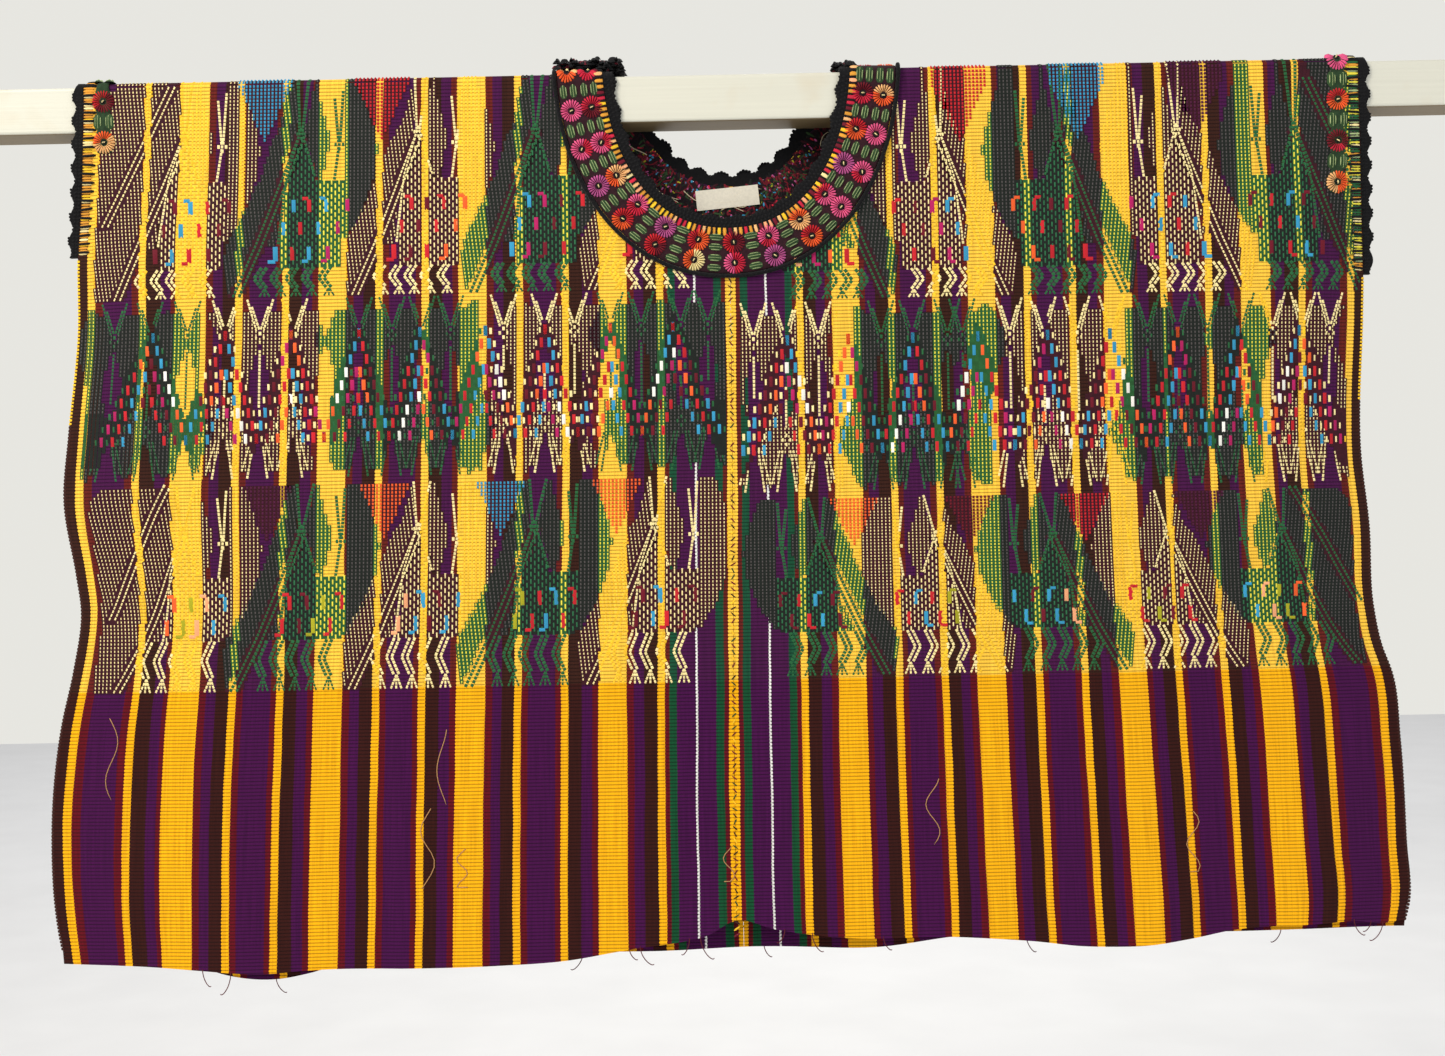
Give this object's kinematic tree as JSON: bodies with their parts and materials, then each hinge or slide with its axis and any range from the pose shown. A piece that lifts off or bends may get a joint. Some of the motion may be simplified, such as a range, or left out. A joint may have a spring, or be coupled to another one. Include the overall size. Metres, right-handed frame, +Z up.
{
  "type": "huipil blouse hung on a square rod",
  "caption": "Handwoven striped huipil blouse with brocade, embroidered neck band and crocheted edgings, hung flat on a painted square batten.",
  "frame": {"origin": "middle of the square rod that holds the blouse, on its axis", "axes": "+Z up, +X along the rod towards the right of the picture, the garment's front faces -Y"},
  "size_m": [1.1, 0.0461, 0.6686],
  "materials": {
    "woven_cloth": "warp-faced striped cotton with supplementary weft brocade, matte",
    "embroidery": "thick cotton satin stitch, soft sheen",
    "black_cotton": "crocheted black cotton, matte",
    "label_tape": "plain woven tape, matte",
    "painted_wood": "white paint on a planed batten, satin"
  },
  "bodies": {
    "root": {"left_panel": "woven_cloth", "right_panel": "woven_cloth", "neck_band": "embroidery", "neck_border": "black_cotton", "neck_edging": "black_cotton", "left_armhole_edging": "black_cotton", "right_armhole_edging": "black_cotton", "left_embroidery": "embroidery", "right_embroidery": "embroidery", "label": "label_tape", "rod": "painted_wood"}
  },
  "joints": []
}
